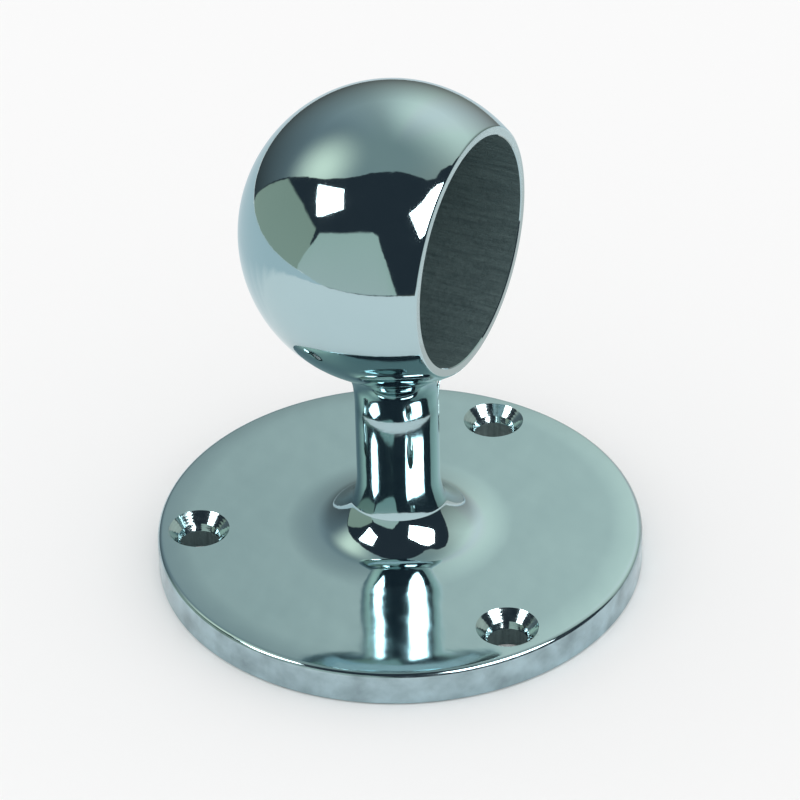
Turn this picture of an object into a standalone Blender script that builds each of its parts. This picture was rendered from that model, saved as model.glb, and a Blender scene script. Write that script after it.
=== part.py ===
"""Handrail end bracket: a round screw-down plate, a short stem and a ball with a socket for the end of a tube.

One casting, so one solid. The origin is the centre of the plate's underside, +Z points up the stem and +X
points out of the socket's mouth. Lengths are metres.
"""

import math

import bmesh
import bpy
from mathutils import Matrix, Vector

# The tube that the socket takes, and the room left around it
TUBE_DIAMETER = 0.0381
SOCKET_CLEARANCE = 0.0002
SOCKET_DEPTH = 0.020
SOCKET_LEAD_IN = 0.00015

# The ball: its mouth is cut flat at this distance from its centre, and leaves a rim round the socket
MOUTH_OFFSET = 0.0141
RIM_WIDTH = 0.0015
MOUTH_ROUND = 0.0006

# The stem, from the plate's top to the ball's lowest point
STEM_LENGTH = 0.0332
STEM_RADIUS = 0.007

# The hollow curves that widen the stem into the ball, each with its radius and how far it turns
NECK_SLOW_RADIUS = 0.027
NECK_SLOW_TURN = math.radians(9)
NECK_BEND_RADIUS = 0.0065
NECK_BEND_TURN = math.radians(12)
NECK_FILLET = 0.0127

# The hollow curves that widen it into the plate, from the stem down to a last one that runs out flat
FOOT_SLOW_RADIUS = 0.018
FOOT_SLOW_TURN = math.radians(16)
FOOT_BEND_RADIUS = 0.003
FOOT_BEND_TURN = math.radians(17)
FOOT_FLARE_RADIUS = 0.0135
FOOT_FLARE_TURN = math.radians(23.5)
FOOT_FILLET = 0.006
FOOT_FILLET_TURN = math.radians(23.5)
FOOT_RUN_OUT = 0.029

# The plate: flat, then falling softly to a rounded edge above a straight side
PLATE_RADIUS = 0.041
PLATE_THICKNESS = 0.0064
PLATE_FALL_WIDTH = 0.0055
PLATE_FALL_RADIUS = 0.045
PLATE_EDGE_ROUND = 0.001
PLATE_FOOT_CHAMFER = 0.0003

# Three countersunk screw holes, near the plate's edge and drilled loose round their screws
SCREW_DIAMETER = 0.005
SCREW_CLEARANCE = 0.0021
SCREW_HEAD_DIAMETER = 0.0104
HOLE_COUNT = 3
HOLE_TURN = math.radians(87)
HOLE_MARGIN = 0.0018

SEGMENTS = 72
HOLE_SEGMENTS = 28
MERGE = 0.000001
PAST = 0.003

SOCKET_RADIUS = (TUBE_DIAMETER + SOCKET_CLEARANCE) / 2
BALL_RADIUS = math.hypot(SOCKET_RADIUS + RIM_WIDTH, MOUTH_OFFSET)
BALL_HEIGHT = PLATE_THICKNESS + STEM_LENGTH + BALL_RADIUS
HOLE_RADIUS = (SCREW_DIAMETER + SCREW_CLEARANCE) / 2
SINK_RADIUS = SCREW_HEAD_DIAMETER / 2
HOLE_CIRCLE = PLATE_RADIUS - HOLE_MARGIN - SINK_RADIUS


def arc(centre, radius, start, end, steps):
    """Points of an arc, both ends included, from one angle to another in degrees."""
    points = []
    for i in range(steps + 1):
        angle = math.radians(start + (end - start) * i / steps)
        points.append((centre[0] + radius * math.cos(angle), centre[1] + radius * math.sin(angle)))
    return points


def hollow(curves, way):
    """Points of hollow curves that follow on from the stem, from height 0 up (way 1) or down (way -1).

    Each curve is its radius, the lean from upright that it ends at and its steps.
    """
    points, lean = [(STEM_RADIUS, 0.0)], 0.0
    for curve, end, steps in curves:
        start_r, start_z = points[-1]
        for i in range(1, steps + 1):
            angle = lean + (end - lean) * i / steps
            radius = start_r + curve * (math.cos(lean) - math.cos(angle))
            points.append((radius, start_z + way * curve * (math.sin(angle) - math.sin(lean))))
        lean = end
    return points


def body_outline():
    """The half outline of plate, stem and ball as (radius, height), from the underside's centre to the top."""
    outline = [(0.0, 0.0), (PLATE_RADIUS - PLATE_FOOT_CHAMFER, 0.0), (PLATE_RADIUS, PLATE_FOOT_CHAMFER)]

    edge_r = PLATE_RADIUS - PLATE_EDGE_ROUND
    fall_r = PLATE_RADIUS - PLATE_FALL_WIDTH
    fall_z = PLATE_THICKNESS - PLATE_FALL_RADIUS
    reach = PLATE_FALL_RADIUS - PLATE_EDGE_ROUND
    edge_z = fall_z + math.sqrt(reach**2 - (edge_r - fall_r) ** 2)
    lean = math.degrees(math.asin((edge_r - fall_r) / reach))
    outline += arc((edge_r, edge_z), PLATE_EDGE_ROUND, 0, 90 - lean, 5)
    outline += arc((fall_r, fall_z), PLATE_FALL_RADIUS, 90 - lean, 90, 4)[1:]

    bend = FOOT_SLOW_TURN + FOOT_BEND_TURN
    flare = bend + FOOT_FLARE_TURN
    fillet = flare + FOOT_FILLET_TURN
    foot = hollow(
        [
            (FOOT_SLOW_RADIUS, FOOT_SLOW_TURN, 3),
            (FOOT_BEND_RADIUS, bend, 2),
            (FOOT_FLARE_RADIUS, flare, 4),
            (FOOT_FILLET, fillet, 3),
            (FOOT_RUN_OUT, math.radians(90), 2),
        ],
        -1,
    )
    foot_top = PLATE_THICKNESS - foot[-1][1]
    outline += [(r, foot_top + z) for r, z in reversed(foot)]

    bend = NECK_SLOW_TURN + NECK_BEND_TURN
    lower = [(NECK_SLOW_RADIUS, NECK_SLOW_TURN, 2), (NECK_BEND_RADIUS, bend, 2)]
    fillet_r = hollow(lower, 1)[-1][0] + NECK_FILLET * math.cos(bend)
    meet = math.acos(fillet_r / (BALL_RADIUS + NECK_FILLET))
    neck = hollow([*lower, (NECK_FILLET, meet, 4)], 1)
    neck_foot = BALL_HEIGHT - BALL_RADIUS * math.sin(meet) - neck[-1][1]
    outline += [(r, neck_foot + z) for r, z in neck]
    outline += arc((0.0, BALL_HEIGHT), BALL_RADIUS, -math.degrees(meet), 90, 28)[1:]
    return outline


def socket_outline():
    """What the mouth and the socket take out of the ball, as (radius, distance along the socket)."""
    round_x = MOUTH_OFFSET - MOUTH_ROUND
    round_r = math.sqrt((BALL_RADIUS - MOUTH_ROUND) ** 2 - round_x**2)
    grow = BALL_RADIUS / (BALL_RADIUS - MOUTH_ROUND)
    edge = Vector((round_r * grow, round_x * grow))
    slope = edge - Vector((round_r, MOUTH_OFFSET))
    out = edge + slope * (PAST / slope.length)
    return [
        (0.0, MOUTH_OFFSET - SOCKET_DEPTH),
        (SOCKET_RADIUS, MOUTH_OFFSET - SOCKET_DEPTH),
        (SOCKET_RADIUS, MOUTH_OFFSET - SOCKET_LEAD_IN),
        (SOCKET_RADIUS + SOCKET_LEAD_IN, MOUTH_OFFSET),
        (round_r, MOUTH_OFFSET),
        tuple(edge),
        tuple(out),
        (out.x, BALL_RADIUS + PAST),
        (0.0, BALL_RADIUS + PAST),
    ]


def sink_outline():
    """One countersunk screw hole, as (radius, height)."""
    cone = SINK_RADIUS - HOLE_RADIUS
    return [
        (0.0, -PAST),
        (HOLE_RADIUS, -PAST),
        (HOLE_RADIUS, PLATE_THICKNESS - cone),
        (SINK_RADIUS + PAST, PLATE_THICKNESS + PAST),
        (0.0, PLATE_THICKNESS + PAST),
    ]


def turned(name, outline, segments):
    """A closed solid: the outline spun once round Z."""
    mesh = bpy.data.meshes.new(name)
    bm = bmesh.new()
    verts = [bm.verts.new((r, 0.0, z)) for r, z in outline]
    edges = [bm.edges.new(pair) for pair in zip(verts, verts[1:])]
    bmesh.ops.spin(
        bm,
        geom=verts + edges,
        cent=(0, 0, 0),
        axis=(0, 0, 1),
        angle=math.tau,
        steps=segments,
        use_merge=True,
    )
    bmesh.ops.remove_doubles(bm, verts=bm.verts, dist=MERGE)
    bmesh.ops.recalc_face_normals(bm, faces=bm.faces)
    bm.to_mesh(mesh)
    bm.free()
    obj = bpy.data.objects.new(name, mesh)
    bpy.context.scene.collection.objects.link(obj)
    return obj


def cut_with(body, cutter):
    cutter.hide_render = True
    cutter.display_type = "WIRE"
    cutter.parent = body
    cut = body.modifiers.new(cutter.name, "BOOLEAN")
    cut.operation = "DIFFERENCE"
    cut.solver = "EXACT"
    cut.object = cutter


def chrome():
    material = bpy.data.materials.new("chrome_plate")
    material.use_nodes = True
    shader = material.node_tree.nodes["Principled BSDF"]
    shader.inputs["Base Color"].default_value = (0.62, 0.70, 0.71, 1.0)
    shader.inputs["Metallic"].default_value = 1.0
    shader.inputs["Roughness"].default_value = 0.06
    return material


for old in list(bpy.data.objects):
    bpy.data.objects.remove(old, do_unlink=True)

bracket = turned("end_bracket", body_outline(), SEGMENTS)
bracket.data.materials.append(chrome())
bpy.context.view_layer.objects.active = bracket
bracket.select_set(True)
bpy.ops.object.shade_smooth()
bracket.data.set_sharp_from_angle(angle=math.radians(25))

socket_cutter = turned("socket_cutter", socket_outline(), SEGMENTS)
socket_cutter.matrix_world = Matrix.Translation((0, 0, BALL_HEIGHT)) @ Matrix.Rotation(math.radians(90), 4, "Y")
cut_with(bracket, socket_cutter)

for i in range(HOLE_COUNT):
    angle = HOLE_TURN + i * math.tau / HOLE_COUNT
    hole_cutter = turned("hole_cutter_%d" % (i + 1), sink_outline(), HOLE_SEGMENTS)
    hole_cutter.location = (HOLE_CIRCLE * math.cos(angle), HOLE_CIRCLE * math.sin(angle), 0)
    cut_with(bracket, hole_cutter)
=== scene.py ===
"""Ball-type handrail end bracket in polished chrome: a round plate, a short stem and a bored ball."""

from math import acos, asin, atan2, cos, degrees, hypot, pi, radians, sin, sqrt

import bpy
from mathutils import Matrix, Vector

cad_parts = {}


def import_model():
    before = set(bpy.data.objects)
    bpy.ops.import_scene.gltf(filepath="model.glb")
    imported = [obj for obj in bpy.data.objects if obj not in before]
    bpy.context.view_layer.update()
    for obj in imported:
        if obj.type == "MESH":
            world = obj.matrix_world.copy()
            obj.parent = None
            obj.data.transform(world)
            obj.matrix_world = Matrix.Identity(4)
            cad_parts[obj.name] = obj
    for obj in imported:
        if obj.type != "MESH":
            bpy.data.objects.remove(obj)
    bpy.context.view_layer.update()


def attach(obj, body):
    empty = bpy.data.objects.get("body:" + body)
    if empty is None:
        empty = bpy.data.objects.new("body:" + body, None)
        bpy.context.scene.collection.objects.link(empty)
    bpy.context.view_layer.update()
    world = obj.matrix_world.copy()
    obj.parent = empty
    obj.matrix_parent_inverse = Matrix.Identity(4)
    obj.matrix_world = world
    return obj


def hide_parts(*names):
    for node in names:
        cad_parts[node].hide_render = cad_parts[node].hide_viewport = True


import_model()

# The bracket's own sizes, in metres, as in the part's source.
TUBE_DIAMETER = 0.0381
SOCKET_CLEARANCE = 0.0002
SOCKET_DEPTH = 0.020
SOCKET_LEAD_IN = 0.00015
MOUTH_OFFSET = 0.0141
RIM_WIDTH = 0.0015
MOUTH_ROUND = 0.0006
STEM_LENGTH = 0.0332
STEM_RADIUS = 0.007
NECK_CURVES = ((0.027, radians(9)), (0.0065, radians(21)))
NECK_FILLET = 0.0127
FOOT_CURVES = ((0.018, radians(16)), (0.003, radians(33)), (0.0135, radians(56.5)), (0.006, radians(80)),
               (0.029, radians(90)))
PLATE_RADIUS = 0.041
PLATE_THICKNESS = 0.0064
PLATE_FALL_WIDTH = 0.0055
PLATE_FALL_RADIUS = 0.045
PLATE_EDGE_ROUND = 0.001
PLATE_FOOT_CHAMFER = 0.0003
HOLE_RADIUS = 0.00355
SINK_RADIUS = 0.0052
STEP_COUNT = 3
STEP_PITCH = 0.0005
STEP_DEPTH = 0.0003
HOLE_CIRCLE = 0.034
HOLE_COUNT = 3
HOLE_TURN = radians(87)

SOCKET_RADIUS = (TUBE_DIAMETER + SOCKET_CLEARANCE) / 2
BALL_RADIUS = hypot(SOCKET_RADIUS + RIM_WIDTH, MOUTH_OFFSET)
BALL_HEIGHT = PLATE_THICKNESS + STEM_LENGTH + BALL_RADIUS
BALL_CENTRE = Vector((0, 0, BALL_HEIGHT))

# How finely each curve and turn is divided.
POST_TURNS = 256
BALL_TURNS = 256
HOLE_TURNS = 72
EDGE_STEPS = 14
FALL_STEPS = 16
FOOT_STEPS_PER_METRE = 3400
NECK_STEPS_PER_METRE = 3000
STEM_RINGS = 8
BORE_RINGS = 10
RIM_STEPS = 12
SHOULDER_STEPS = 24
BACK_STEPS = 64
CONE_RINGS = 6

WELD = 0.000001
NEAR = 0.00002
FLAT_MARGIN = 0.0003
SEAM_LEAN = radians(0.7)
SEAM_WELD = 0.00004
CUTTER_PAST = 0.001
SHARP_ANGLE = radians(25)

# The camera, fitted to the photograph: its turn from the socket's side, height, roll, distance and lens.
VIEW_TURN = radians(26.6)
VIEW_HEIGHT = radians(34.9)
VIEW_ROLL = radians(-1.4)
VIEW_DISTANCE = 0.7175
VIEW_LENS = 194.7
VIEW_TARGET = Vector((0.00055 * cos(VIEW_TURN), 0.00055 * sin(VIEW_TURN), 0.03169))


def arc(centre, radius, start, end, steps):
    """Points along an arc, both ends included, with the angles in radians."""
    turns = [start + (end - start) * i / steps for i in range(steps + 1)]
    return [(centre[0] + radius * cos(a), centre[1] + radius * sin(a)) for a in turns]


def upright(radius, height):
    """A point of an outline that turns round the stem."""
    return Vector((radius, 0, height))


def sideways(along, radius):
    """A point of an outline that turns round the socket's axis."""
    return Vector((along, 0, BALL_HEIGHT + radius))


def turned(name, outline, place, axis, turns):
    """An outline drawn point by point from one vertex and spun once round its axis."""
    bpy.ops.object.select_all(action="DESELECT")
    bpy.ops.mesh.primitive_plane_add(size=0.001)
    piece = bpy.context.object
    piece.name = piece.data.name = name
    bpy.ops.object.mode_set(mode="EDIT")
    bpy.ops.mesh.select_all(action="SELECT")
    bpy.ops.mesh.merge(type="CENTER")
    points = [place(*point) for point in outline]
    bpy.ops.transform.translate(value=points[0])
    for before, after in zip(points, points[1:]):
        bpy.ops.mesh.extrude_region_move(TRANSFORM_OT_translate={"value": after - before})
    bpy.ops.mesh.select_all(action="SELECT")
    bpy.ops.mesh.spin(steps=turns, angle=2 * pi, center=place(0, 0), axis=axis)
    bpy.ops.mesh.select_all(action="SELECT")
    bpy.ops.mesh.remove_doubles(threshold=WELD)
    bpy.ops.mesh.normals_make_consistent(inside=False)
    bpy.ops.object.mode_set(mode="OBJECT")
    return piece


def swept(curves, way, density):
    """Hollow curves, each its radius and the lean it ends at, from the stem up (way 1) or down (way -1)."""
    radius, height = STEM_RADIUS, 0.0
    points, lean = [(radius, height)], 0.0
    for curve, end in curves:
        steps = max(4, round(curve * (end - lean) * density))
        for i in range(1, steps + 1):
            angle = lean + (end - lean) * i / steps
            out = curve * (cos(lean) - cos(angle))
            points.append((radius + out, height + way * curve * (sin(angle) - sin(lean))))
        radius, height = points[-1]
        lean = end
    return points


def neck_curves():
    """The neck's curves with the lean at which the last one meets the ball."""
    radius = swept(NECK_CURVES, 1, 100)[-1][0]
    meet = acos((radius + NECK_FILLET * cos(NECK_CURVES[-1][1])) / (BALL_RADIUS + NECK_FILLET))
    return (*NECK_CURVES, (NECK_FILLET, meet)), meet


def post_outline():
    """Plate, foot, stem and neck as (radius, height), from the underside's middle up to the ball."""
    edge_r = PLATE_RADIUS - PLATE_EDGE_ROUND
    fall_r = PLATE_RADIUS - PLATE_FALL_WIDTH
    fall_z = PLATE_THICKNESS - PLATE_FALL_RADIUS
    reach = PLATE_FALL_RADIUS - PLATE_EDGE_ROUND
    edge_z = fall_z + sqrt(reach**2 - (edge_r - fall_r) ** 2)
    lean = asin((edge_r - fall_r) / reach)
    points = [(0, 0), (PLATE_RADIUS - PLATE_FOOT_CHAMFER - FLAT_MARGIN, 0)]
    points += [(PLATE_RADIUS - PLATE_FOOT_CHAMFER, 0), (PLATE_RADIUS, PLATE_FOOT_CHAMFER)]
    points += [(PLATE_RADIUS, edge_z / 2)]
    points += arc((edge_r, edge_z), PLATE_EDGE_ROUND, 0, pi / 2 - lean, EDGE_STEPS)
    points += arc((fall_r, fall_z), PLATE_FALL_RADIUS, pi / 2 - lean, pi / 2, FALL_STEPS)[1:]
    points += [(fall_r - FLAT_MARGIN, PLATE_THICKNESS)]

    foot = swept(FOOT_CURVES, -1, FOOT_STEPS_PER_METRE)
    foot_top = PLATE_THICKNESS - foot[-1][1]
    points += [(foot[-1][0] + FLAT_MARGIN, PLATE_THICKNESS)]
    points += [(r, foot_top + z) for r, z in reversed(foot)]

    curves, meet = neck_curves()
    neck = swept(curves, 1, NECK_STEPS_PER_METRE)
    neck_foot = BALL_HEIGHT - BALL_RADIUS * sin(meet) - neck[-1][1]
    rise = neck_foot - foot_top
    points += [(STEM_RADIUS, foot_top + rise * i / STEM_RINGS) for i in range(1, STEM_RINGS)]
    points += [(r, neck_foot + z) for r, z in neck]
    return points


def ball_outline():
    """Socket, rim and ball as (distance along the socket, radius), from its floor to the ball's back."""
    round_x = MOUTH_OFFSET - MOUTH_ROUND
    round_r = sqrt((BALL_RADIUS - MOUTH_ROUND) ** 2 - round_x**2)
    side = asin(round_r / (BALL_RADIUS - MOUTH_ROUND))
    floor_x = MOUTH_OFFSET - SOCKET_DEPTH
    points = [(floor_x, 0), (floor_x, SOCKET_RADIUS - FLAT_MARGIN), (floor_x, SOCKET_RADIUS)]
    points += [(floor_x + SOCKET_DEPTH * i / BORE_RINGS, SOCKET_RADIUS) for i in range(1, BORE_RINGS)]
    points += [(MOUTH_OFFSET - SOCKET_LEAD_IN, SOCKET_RADIUS), (MOUTH_OFFSET, SOCKET_RADIUS + SOCKET_LEAD_IN)]
    points += arc((round_x, round_r), MOUTH_ROUND, 0, side, RIM_STEPS)
    points += arc((0, 0), BALL_RADIUS, side, pi / 2, SHOULDER_STEPS)[1:]
    points += arc((0, 0), BALL_RADIUS, pi / 2, pi, BACK_STEPS)[1:]
    return points


def sink_outline():
    """What a countersunk screw hole takes out, as (radius, height): plain wall, tool steps and cone."""
    cone = SINK_RADIUS - HOLE_RADIUS
    top = PLATE_THICKNESS - cone
    points = [(0, -CUTTER_PAST), (HOLE_RADIUS, -CUTTER_PAST), (HOLE_RADIUS, top - STEP_COUNT * STEP_PITCH)]
    for i in reversed(range(STEP_COUNT)):
        points += [(HOLE_RADIUS + STEP_DEPTH, top - STEP_DEPTH / 8 - i * STEP_PITCH)]
        points += [(HOLE_RADIUS, top - i * STEP_PITCH)]
    rises = [cone * i / CONE_RINGS for i in range(1, CONE_RINGS + 1)]
    points += [(HOLE_RADIUS + rise, top + rise) for rise in rises]
    points += [(SINK_RADIUS + CUTTER_PAST, PLATE_THICKNESS + CUTTER_PAST), (0, PLATE_THICKNESS + CUTTER_PAST)]
    return points


def ball_on_post():
    """The ball, cut flat just above the neck's top and bridged to it, so that one skin runs through."""
    post = turned("bracket_post", post_outline(), upright, (0, 0, 1), POST_TURNS)
    ball = turned("bracket_ball", ball_outline(), sideways, (1, 0, 0), BALL_TURNS)
    bpy.ops.object.mode_set(mode="EDIT")
    bpy.ops.mesh.select_all(action="SELECT")
    cut = Vector((0, 0, BALL_HEIGHT - BALL_RADIUS * sin(neck_curves()[1] - SEAM_LEAN)))
    bpy.ops.mesh.bisect(plane_co=cut, plane_no=(0, 0, 1), use_fill=False, clear_inner=True)
    bpy.ops.mesh.remove_doubles(threshold=SEAM_WELD)
    bpy.ops.object.mode_set(mode="OBJECT")
    bpy.ops.object.select_all(action="DESELECT")
    ball.select_set(True)
    post.select_set(True)
    bpy.context.view_layer.objects.active = post
    bpy.ops.object.join()
    bpy.ops.object.mode_set(mode="EDIT")
    bpy.ops.mesh.select_all(action="DESELECT")
    bpy.ops.mesh.select_mode(type="EDGE")
    bpy.ops.mesh.select_non_manifold()
    bpy.ops.mesh.bridge_edge_loops()
    bpy.ops.mesh.select_all(action="SELECT")
    bpy.ops.mesh.normals_make_consistent(inside=False)
    bpy.ops.mesh.select_mode(type="VERT")
    bpy.ops.object.mode_set(mode="OBJECT")
    return post


def hole_places():
    """Where the three screw holes stand on the plate."""
    angles = [HOLE_TURN + i * 2 * pi / HOLE_COUNT for i in range(HOLE_COUNT)]
    return [(HOLE_CIRCLE * cos(angle), HOLE_CIRCLE * sin(angle)) for angle in angles]


def drill(piece):
    """The three countersunk holes, each cut by its own cutter."""
    for i, (x, y) in enumerate(hole_places()):
        cutter = turned("sink_cutter_%d" % (i + 1), sink_outline(), upright, (0, 0, 1), HOLE_TURNS)
        cutter.data.transform(Matrix.Translation((x, y, 0)))
        bpy.ops.object.select_all(action="DESELECT")
        piece.select_set(True)
        bpy.context.view_layer.objects.active = piece
        cut = piece.modifiers.new("screw_hole", "BOOLEAN")
        cut.operation = "DIFFERENCE"
        cut.solver = "EXACT"
        cut.object = cutter
        bpy.ops.object.modifier_apply(modifier=cut.name)
        bpy.data.objects.remove(cutter, do_unlink=True)


bracket = ball_on_post()
drill(bracket)
bracket.name = bracket.data.name = "chrome_bracket"
bpy.ops.object.select_all(action="DESELECT")
bracket.select_set(True)
bpy.context.view_layer.objects.active = bracket
bpy.ops.object.shade_smooth_by_angle(angle=SHARP_ANGLE)


# The finishes: each a duller and a brighter colour, which its mottle blends.
MIRROR = ((0.424, 0.577, 0.610), (0.448, 0.602, 0.636))
SATIN_SIDE = ((0.27, 0.36, 0.39), (0.47, 0.62, 0.67))
SATIN_UNDERSIDE = ((0.26, 0.33, 0.34), (0.38, 0.49, 0.51))
TURNED = ((0.36, 0.48, 0.50), (0.46, 0.60, 0.62))
ROUGH_DARK = ((0.084, 0.132, 0.138), (0.142, 0.208, 0.210))
ROUGH_DARK_METALLIC = 0.35
DRAWN_OUT = 0.09


def new_material(name):
    material = bpy.data.materials.new(name)
    material.use_nodes = True
    return material, material.node_tree.nodes, material.node_tree.links


def metal(name, metallic):
    material, nodes, links = new_material(name)
    shader = nodes["Principled BSDF"]
    shader.inputs["Metallic"].default_value = metallic
    return material, nodes, links, shader


def grain(nodes, links, scale, detail=2.0, stretch=None):
    """Noise laid over the bracket's own coordinates, drawn out along an axis where stretch says so."""
    place = nodes.new("ShaderNodeTexCoord").outputs["Object"]
    if stretch:
        drawn = nodes.new("ShaderNodeMapping")
        drawn.inputs["Scale"].default_value = stretch
        links.new(place, drawn.inputs["Vector"])
        place = drawn.outputs["Vector"]
    noise = nodes.new("ShaderNodeTexNoise")
    noise.inputs["Scale"].default_value = scale
    noise.inputs["Detail"].default_value = detail
    links.new(place, noise.inputs["Vector"])
    return noise.outputs["Fac"]


def rings(nodes, links, pitch):
    """The tool marks of a drill or countersink: rings one pitch apart down the hole."""
    place = nodes.new("ShaderNodeTexCoord").outputs["Object"]
    wave = nodes.new("ShaderNodeTexWave")
    wave.bands_direction = "Z"
    wave.inputs["Scale"].default_value = pi / 10 / pitch
    wave.inputs["Distortion"].default_value = 0.6
    links.new(place, wave.inputs["Vector"])
    return wave.outputs["Fac"]


def ranged(nodes, links, value, low, high):
    """The noise's usual span stretched to run from low to high."""
    span = nodes.new("ShaderNodeMapRange")
    span.inputs["From Min"].default_value = 0.3
    span.inputs["From Max"].default_value = 0.7
    span.inputs["To Min"].default_value = low
    span.inputs["To Max"].default_value = high
    links.new(value, span.inputs["Value"])
    return span.outputs["Result"]


def blended(nodes, links, value, tones):
    """The duller and the brighter colour, mixed by a noise."""
    dull, bright = tones
    blend = nodes.new("ShaderNodeMix")
    blend.data_type = "RGBA"
    blend.inputs["A"].default_value = (*dull, 1)
    blend.inputs["B"].default_value = (*bright, 1)
    links.new(ranged(nodes, links, value, 0, 1), blend.inputs["Factor"])
    return blend.outputs["Result"]


def roughen(nodes, links, shader, layers):
    """Bumps one over the other, each a height and its depth in metres."""
    normal = None
    for height, depth in layers:
        bump = nodes.new("ShaderNodeBump")
        bump.inputs["Distance"].default_value = depth
        links.new(height, bump.inputs["Height"])
        if normal:
            links.new(normal, bump.inputs["Normal"])
        normal = bump.outputs["Normal"]
    links.new(normal, shader.inputs["Normal"])


def polished_chrome(name, ripple, depth, low, high):
    """Mirror plating: ripple is how many waves a metre the buffing wheel left, depth their height."""
    material, nodes, links, shader = metal(name, 1)
    cloud = grain(nodes, links, 60)
    links.new(blended(nodes, links, cloud, MIRROR), shader.inputs["Base Color"])
    wear = grain(nodes, links, 420, 4)
    links.new(ranged(nodes, links, wear, low, high), shader.inputs["Roughness"])
    fine = grain(nodes, links, 900, 3)
    roughen(nodes, links, shader, [(grain(nodes, links, ripple, 1), depth), (fine, 0.000004)])
    return material


def satin_chrome(name, tones, low, high):
    """Plating over a turned or cast face that wasn't buffed."""
    material, nodes, links, shader = metal(name, 1)
    mottle = grain(nodes, links, 230, 5)
    links.new(blended(nodes, links, mottle, tones), shader.inputs["Base Color"])
    links.new(ranged(nodes, links, grain(nodes, links, 500, 3), low, high), shader.inputs["Roughness"])
    wave, fine = grain(nodes, links, 150, 2), grain(nodes, links, 1500, 3)
    roughen(nodes, links, shader, [(wave, 0.00006), (fine, 0.000008)])
    return material


def turned_chrome():
    """Plating over the tool marks of the countersinks."""
    material, nodes, links, shader = metal("countersink_chrome", 1)
    cloud = grain(nodes, links, 500, 3)
    links.new(blended(nodes, links, cloud, TURNED), shader.inputs["Base Color"])
    links.new(ranged(nodes, links, grain(nodes, links, 900, 3), 0.06, 0.14), shader.inputs["Roughness"])
    marks, wave = rings(nodes, links, 0.0004), grain(nodes, links, 700, 2)
    roughen(nodes, links, shader, [(marks, 0.000003), (wave, 0.00002)])
    return material


def rough_dark_wall(name, stretch):
    """A rough, dark wall, with the streaks of the boring tool along it."""
    material, nodes, links, shader = metal(name, ROUGH_DARK_METALLIC)
    speck = grain(nodes, links, 1500, 4)
    streak = grain(nodes, links, 1700, 4, stretch)
    links.new(blended(nodes, links, streak, ROUGH_DARK), shader.inputs["Base Color"])
    links.new(ranged(nodes, links, speck, 0.42, 0.75), shader.inputs["Roughness"])
    roughen(nodes, links, shader, [(streak, 0.00005), (speck, 0.00006)])
    return material


STEEP = 0.6


def cover(piece, material, chosen):
    """Puts a material on the faces that a rule chooses by place and normal."""
    piece.data.materials.append(material)
    piece.active_material_index = len(piece.data.materials) - 1
    bpy.ops.object.mode_set(mode="EDIT")
    bpy.ops.mesh.select_mode(type="FACE")
    bpy.ops.mesh.select_all(action="DESELECT")
    bpy.ops.object.mode_set(mode="OBJECT")
    for face in piece.data.polygons:
        face.select = chosen(face.center, face.normal)
    bpy.ops.object.mode_set(mode="EDIT")
    bpy.ops.object.material_slot_assign()
    bpy.ops.mesh.select_all(action="DESELECT")
    bpy.ops.object.mode_set(mode="OBJECT")


def on_plate(place, normal):
    """The plate's top, out to its rounded edge."""
    return place.z < PLATE_THICKNESS + NEAR and normal.z > STEEP


def on_side(place, normal):
    """The plate's straight side and the steep part of its rounded edge."""
    return hypot(place.x, place.y) > PLATE_RADIUS - PLATE_EDGE_ROUND and abs(normal.z) < STEEP


def on_underside(place, normal):
    return place.z < NEAR and normal.z < -0.9


def in_socket(place, normal):
    inside = hypot(place.y, place.z - BALL_HEIGHT) < SOCKET_RADIUS + NEAR
    return inside and MOUTH_OFFSET - SOCKET_DEPTH - NEAR < place.x < MOUTH_OFFSET - SOCKET_LEAD_IN


def in_sink(place, normal):
    """Everything inside a screw hole, its countersink too."""
    if not NEAR < place.z < PLATE_THICKNESS - NEAR:
        return False
    return any(hypot(place.x - x, place.y - y) < SINK_RADIUS + NEAR for x, y in hole_places())


def in_screw_hole(place, normal):
    """The wall below the countersink and its steps, which is given a dark, rough finish."""
    steps_end = PLATE_THICKNESS - SINK_RADIUS + HOLE_RADIUS - STEP_COUNT * STEP_PITCH
    return in_sink(place, normal) and place.z < steps_end


bracket.data.materials.clear()
bracket.data.materials.append(polished_chrome("polished_chrome", 90, 0.00001, 0.035, 0.06))
cover(bracket, polished_chrome("plate_chrome", 150, 0.00006, 0.07, 0.11), on_plate)
cover(bracket, satin_chrome("side_chrome", SATIN_SIDE, 0.12, 0.24), on_side)
cover(bracket, satin_chrome("underside_chrome", SATIN_UNDERSIDE, 0.3, 0.5), on_underside)
cover(bracket, rough_dark_wall("socket_bore", (DRAWN_OUT, 1, 1)), in_socket)
cover(bracket, turned_chrome(), in_sink)
# The screw holes' walls below the countersinks are made darker and rougher than the countersinks above them.
cover(bracket, rough_dark_wall("screw_hole_wall", (1, 1, DRAWN_OUT)), in_screw_hole)
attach(bracket, "root")
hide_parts("end_bracket")


# Studio: everything below stands round the bracket and isn't part of it.
DARK = (0.030, 0.040, 0.052)
WHITE = (1, 1, 1)
FLOOR_SIDES = 96
FLOOR_RADIUS = 0.36
FLOOR_SPREAD = 20
FLOOR_DROP = 0.00002
FLOOR_REACH = ((-180, 0.36), (-131, 0.39), (-66, 0.39), (-58, 0.31), (-45, 0.288), (5, 0.28), (20, 0.26),
               (100, 0.26), (112, 0.36), (180, 0.36))
# How far the painted floor shade stands above the floor.
SHADE_LIFT = Vector((0, 0, 0.0004))

# How bright it is all round, by azimuth in degrees from straight behind, positive to the right.
LIGHT_ROUND = ((-180, 0.36), (-90, 0.31), (-60, 0.27), (-42, 0.27), (-28, 0.36), (-16, 0.44), (-6, 0.49),
               (5, 0.86), (16, 1.1), (30, 1.15), (55, 0.98), (85, 0.58), (118, 0.4), (180, 0.36))
LIGHT_ABOVE = (0.30, 0.365, 0.36)
LIGHT_PATCH = (1.12, 1.16, 0.96)
EVEN_WHITE = (1.03, 1.03, 1.03)


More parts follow.
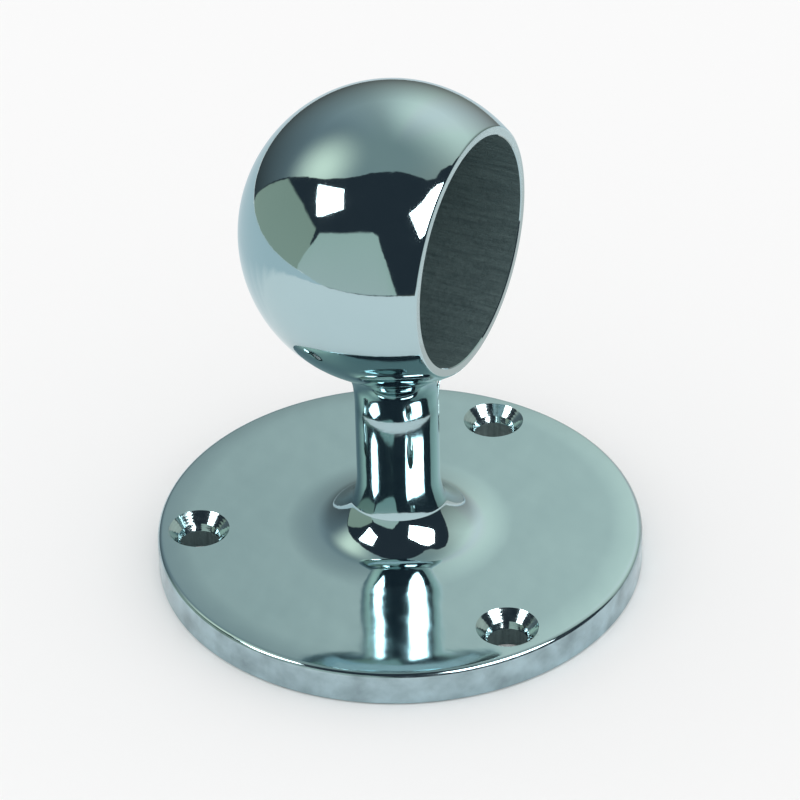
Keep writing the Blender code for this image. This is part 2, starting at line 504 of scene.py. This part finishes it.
def heading(azimuth, elevation):
    """A direction from the ball: azimuth 0 towards the camera, positive to the picture's right."""
    a, e = radians(azimuth), radians(elevation)
    return Matrix.Rotation(VIEW_TURN, 3, "Z") @ Vector((sin(a) * cos(e), -cos(a) * cos(e), sin(e)))


def glow(name, low, high, strength, soft):
    """Light given off by a card: one colour at its foot, one at its head, fading out over its soft share."""
    material, nodes, links = new_material(name)
    nodes.clear()
    place = nodes.new("ShaderNodeTexCoord").outputs["UV"]
    split = nodes.new("ShaderNodeSeparateXYZ")
    links.new(place, split.inputs[0])
    blend = nodes.new("ShaderNodeMix")
    blend.data_type = "RGBA"
    blend.inputs["A"].default_value = (*low, 1)
    blend.inputs["B"].default_value = (*high, 1)
    links.new(split.outputs["Y"], blend.inputs["Factor"])
    light = nodes.new("ShaderNodeEmission")
    light.inputs["Strength"].default_value = strength
    links.new(blend.outputs["Result"], light.inputs["Color"])
    fade = nodes.new("ShaderNodeMapRange")
    fade.interpolation_type = "SMOOTHSTEP"
    fade.inputs["From Min"].default_value = 1 - soft
    fade.inputs["From Max"].default_value = 1
    links.new(split.outputs["Y"], fade.inputs["Value"])
    clear = nodes.new("ShaderNodeBsdfTransparent")
    both = nodes.new("ShaderNodeMixShader")
    links.new(fade.outputs["Result"], both.inputs[0])
    links.new(light.outputs[0], both.inputs[1])
    links.new(clear.outputs[0], both.inputs[2])
    out = nodes.new("ShaderNodeOutputMaterial")
    links.new(both.outputs[0], out.inputs["Surface"])
    return material


def card(name, distance, columns, low, high, strength=1, soft=0.02):
    """A reflector seen only in the metal: upright strips given as azimuth, lowest and highest elevation."""
    bpy.ops.object.select_all(action="DESELECT")
    bpy.ops.mesh.primitive_grid_add(x_subdivisions=len(columns) - 1, y_subdivisions=1, size=1)
    panel = bpy.context.object
    panel.name = panel.data.name = name
    count = len(columns)
    for i, (azimuth, *rows) in enumerate(columns):
        for row, elevation in enumerate(rows):
            way = heading(azimuth, elevation)
            panel.data.vertices[row * count + i].co = BALL_CENTRE + way * (distance / hypot(way.x, way.y))
    panel.data.materials.append(glow(name, low, high, strength, soft))
    panel.visible_camera = False
    panel.visible_diffuse = False
    panel.visible_shadow = False
    panel.visible_transmission = False
    return panel


def painted_floor_shade(name, columns, colour, soft):
    """Painted shade on the floor, seen only in the metal: azimuths with two distances, fading to the second.
    """
    bpy.ops.object.select_all(action="DESELECT")
    bpy.ops.mesh.primitive_grid_add(x_subdivisions=len(columns) - 1, y_subdivisions=1, size=1)
    shade = bpy.context.object
    shade.name = shade.data.name = name
    for i, (azimuth, *rows) in enumerate(columns):
        for row, distance in enumerate(rows):
            shade.data.vertices[row * len(columns) + i].co = heading(azimuth, 0) * distance + SHADE_LIFT
    shade.data.materials.append(glow(name, colour, colour, 1, soft))
    shade.visible_camera = False
    shade.visible_diffuse = False
    shade.visible_shadow = False
    return shade


def reach(azimuth):
    """How far the floor that shows in the metal goes on each side of the bracket."""
    for (start, near), (end, far) in zip(FLOOR_REACH, FLOOR_REACH[1:]):
        if azimuth <= end:
            return near + (far - near) * (azimuth - start) / (end - start)
    return FLOOR_REACH[-1][1]


def floor():
    """A pale floor in two parts that meet: a near one, and a far one that doesn't show in the metal."""
    pieces = []
    for name, inner in (("floor_near", True), ("floor_far", False)):
        bpy.ops.object.select_all(action="DESELECT")
        fill = "NGON" if inner else "NOTHING"
        bpy.ops.mesh.primitive_circle_add(vertices=FLOOR_SIDES, radius=FLOOR_RADIUS, fill_type=fill)
        plane = bpy.context.object
        plane.name = plane.data.name = name
        for vertex in plane.data.vertices:
            way = Matrix.Rotation(-VIEW_TURN, 3, "Z") @ vertex.co
            vertex.co *= reach(degrees(atan2(way.x, -way.y))) / FLOOR_RADIUS
        if not inner:
            bpy.ops.object.mode_set(mode="EDIT")
            bpy.ops.mesh.select_all(action="SELECT")
            bpy.ops.mesh.extrude_edges_move()
            bpy.ops.transform.resize(value=(FLOOR_SPREAD, FLOOR_SPREAD, 1))
            bpy.ops.object.mode_set(mode="OBJECT")
            plane.visible_glossy = False
        plane.location.z = -FLOOR_DROP
        pieces.append(plane)
    material, nodes, links = new_material("pale_floor")
    shader = nodes["Principled BSDF"]
    shader.inputs["Base Color"].default_value = (0.9, 0.9, 0.9, 1)
    shader.inputs["Roughness"].default_value = 0.9
    shader.inputs["Specular IOR Level"].default_value = 0.0
    for plane in pieces:
        plane.data.materials.append(material)
    return pieces


def set_node(nodes, kind, **inputs):
    """A node with its sockets set by name."""
    node = nodes.new(kind)
    for name, value in inputs.items():
        node.inputs[name.replace("_", " ")].default_value = value
    return node


def mixed(nodes, links, factor, first, second):
    """One colour turning into another; each is a socket or a plain colour."""
    mix = nodes.new("ShaderNodeMix")
    mix.data_type = "RGBA"
    links.new(factor, mix.inputs["Factor"])
    for name, colour in (("A", first), ("B", second)):
        if isinstance(colour, tuple):
            mix.inputs[name].default_value = (*colour, 1)
        else:
            links.new(colour, mix.inputs[name])
    return mix.outputs["Result"]


def light_round(nodes, links, split):
    """The light by azimuth, cooler on the left and warmer on the right."""
    bearing = nodes.new("ShaderNodeMath")
    bearing.operation = "ARCTAN2"
    links.new(split.outputs["X"], bearing.inputs[0])
    links.new(split.outputs["Y"], bearing.inputs[1])
    side = set_node(nodes, "ShaderNodeMapRange", From_Min=-pi, From_Max=pi)
    links.new(bearing.outputs[0], side.inputs["Value"])
    ramp = nodes.new("ShaderNodeValToRGB")
    ramp.color_ramp.interpolation = "B_SPLINE"
    stops = ramp.color_ramp.elements
    stops[0].position = 0.0
    stops[1].position = 1.0
    for at, value in LIGHT_ROUND[1:-1]:
        stops.new((at + 180) / 360)
    for stop, (at, value) in zip(stops, LIGHT_ROUND):
        warm = min(1, max(0, (at + 35) / 50))
        stop.color = (value * (0.8 + 0.12 * warm), value * 0.97, value * (1.06 - 0.19 * warm), 1)
    links.new(side.outputs[0], ramp.inputs["Fac"])
    return ramp.outputs["Color"]


def patch_of_light(nodes, links, way):
    """How much of a soft patch of light, high on the left, lies in a direction."""
    toward = nodes.new("ShaderNodeVectorMath")
    toward.operation = "DOT_PRODUCT"
    toward.inputs[1].default_value = heading(-101, 45)
    links.new(way, toward.inputs[0])
    patch = set_node(nodes, "ShaderNodeMapRange", From_Min=cos(radians(36)), From_Max=1.0)
    links.new(toward.outputs["Value"], patch.inputs["Value"])
    soften = nodes.new("ShaderNodeMath")
    soften.operation = "POWER"
    soften.inputs[1].default_value = 3
    links.new(patch.outputs["Result"], soften.inputs[0])
    return soften.outputs[0]


def world():
    """Light from all round that the metal reflects, and an even white that everything else sees."""
    studio = bpy.data.worlds.new("studio")
    bpy.context.scene.world = studio
    studio.use_nodes = True
    nodes, links = studio.node_tree.nodes, studio.node_tree.links
    nodes.clear()
    way = nodes.new("ShaderNodeTexCoord").outputs["Generated"]
    turn = set_node(nodes, "ShaderNodeMapping", Rotation=(0, 0, -VIEW_TURN))
    turn.vector_type = "POINT"
    split = nodes.new("ShaderNodeSeparateXYZ")
    links.new(way, turn.inputs["Vector"])
    links.new(turn.outputs[0], split.inputs[0])
    up = nodes.new("ShaderNodeMath")
    up.operation = "ARCSINE"
    links.new(split.outputs["Z"], up.inputs[0])
    high = set_node(nodes, "ShaderNodeMapRange", From_Min=radians(38), From_Max=radians(82))
    high.interpolation_type = "SMOOTHSTEP"
    links.new(up.outputs[0], high.inputs["Value"])
    shell = mixed(nodes, links, high.outputs[0], light_round(nodes, links, split), LIGHT_ABOVE)
    low = set_node(nodes, "ShaderNodeMapRange", From_Min=radians(-10), From_Max=radians(32), To_Min=0.25)
    links.new(up.outputs[0], low.inputs["Value"])
    dim = nodes.new("ShaderNodeMix")
    dim.data_type = "RGBA"
    dim.blend_type = "MULTIPLY"
    dim.inputs["Factor"].default_value = 1
    links.new(shell, dim.inputs["A"])
    links.new(low.outputs[0], dim.inputs["B"])
    lit = mixed(nodes, links, patch_of_light(nodes, links, way), dim.outputs["Result"], LIGHT_PATCH)
    ray = nodes.new("ShaderNodeLightPath")
    seen = mixed(nodes, links, ray.outputs["Is Glossy Ray"], EVEN_WHITE, lit)
    light = nodes.new("ShaderNodeBackground")
    links.new(seen, light.inputs["Color"])
    out = nodes.new("ShaderNodeOutputWorld")
    links.new(light.outputs[0], out.inputs["Surface"])


def lamp(name, place, size, power):
    """A round soft light aimed at the bracket, seen neither directly nor in the metal."""
    data = bpy.data.lights.new(name, "AREA")
    data.shape = "DISK"
    data.size = size
    data.energy = power
    obj = bpy.data.objects.new(name, data)
    bpy.context.scene.collection.objects.link(obj)
    obj.location = place
    obj.rotation_euler = (-Vector(place)).to_track_quat("-Z", "Y").to_euler()
    obj.visible_glossy = False
    obj.visible_camera = False
    return obj


def aim_camera():
    """The camera, where the photograph was taken from."""
    data = bpy.data.cameras.new("camera")
    camera = bpy.data.objects.new("camera", data)
    bpy.context.scene.collection.objects.link(camera)
    bpy.context.scene.camera = camera
    data.lens = VIEW_LENS
    data.sensor_width = 36
    data.clip_start = 0.01
    data.clip_end = 50
    right = Vector((cos(VIEW_TURN), sin(VIEW_TURN), 0))
    back = Vector((sin(VIEW_TURN) * cos(VIEW_HEIGHT), -cos(VIEW_TURN) * cos(VIEW_HEIGHT), sin(VIEW_HEIGHT)))
    up = back.cross(right)
    across = right * cos(VIEW_ROLL) + up * sin(VIEW_ROLL)
    above = up * cos(VIEW_ROLL) - right * sin(VIEW_ROLL)
    spin = Matrix((across, above, back)).transposed().to_4x4()
    camera.matrix_world = Matrix.Translation(VIEW_TARGET + back * VIEW_DISTANCE) @ spin


card("dark_flag", 2.5, [(-131, -14, -8), (-112, -14, 22), (-100, -14, 36), (-88, -14, 46), (-75, -14, 57),
                        (-62, -14, 66), (-50, -14, 73), (-40, -14, 75.5), (-30, -14, 77), (-20, -14, 78),
                        (-10, -14, 78.4), (0, -14, 78.5), (10, -14, 78.4), (20, -14, 78), (30, -14, 77),
                        (42, -14, 73.5), (52, -14, 68), (60, -14, 61), (70, -14, 58), (85, -14, 57),
                        (96, -14, 52), (100, -14, 40), (104, -14, 0)], DARK, DARK, soft=0.03)
card("softbox_left", 2.3, [(-87.5, 40, 40.1), (-68.5, 27, 50), (-63, 30.5, 52.5), (-50, 41.4, 41.5)],
     WHITE, WHITE, 9)
card("softbox_right", 2.3, [(18, 44.9, 45), (22, 26, 46.5), (35, 28, 50), (50, 29, 54), (64, 30, 54),
                            (74, 32, 49)], WHITE, WHITE, 9)
card("reflector_left", 2.1, [(-131, -14, -8), (-121, -14, 7), (-112, -14, 21), (-100, -14, 24.5),
                             (-85, -14, 26), (-75, -14, 24), (-64, -14, 21)],
     (0.40, 0.46, 0.38), (0.37, 0.43, 0.35), soft=0.06)
card("reflector_front", 2.0, [(-71, -14, -8), (-62, -14, 12), (-60, -14, 20), (-45, -14, 26), (-25, -14, 32),
                              (-17, -14, 33), (-12, -14, 31), (-6, -14, 15), (2, -14, -12.4)],
     (0.62, 0.67, 0.63), (0.55, 0.64, 0.57), soft=0.06)
# Painted shade on the floor, which only the metal shows: dimmer stretches of floor to the left, to the right
# and beside the plate's rim.
painted_floor_shade("floor_shade_left", [(-50, 0.3, 0.29), (-60, 0.35, 0.27), (-70, 0.38, 0.24), (-80, 0.385, 0.2),
                               (-90, 0.385, 0.155), (-100, 0.385, 0.11), (-110, 0.385, 0.07),
                               (-120, 0.38, 0.045), (-135, 0.37, 0.03), (-160, 0.355, 0.03),
                               (-185, 0.355, 0.05), (-205, 0.355, 0.12), (-225, 0.355, 0.25)],
           (0.64, 0.73, 0.77), 0.3)
painted_floor_shade("floor_shade_right", [(45, 0.3, 0.28), (65, 0.355, 0.14), (90, 0.36, 0.08), (120, 0.36, 0.08),
                                (134, 0.355, 0.25)], (0.68, 0.7, 0.68), 0.6)
painted_floor_shade("floor_shade_rim", [(90, 0.03, 0.031), (108, 0.03, 0.2), (130, 0.03, 0.22), (150, 0.03, 0.2),
                              (168, 0.03, 0.031)], (0.74, 0.7, 0.67), 0.7)
floor()
world()
lamp("overhead", (0, 0, 1.4), 1.2, 0.9)

aim_camera()

bpy.context.scene.view_settings.view_transform = "Standard"
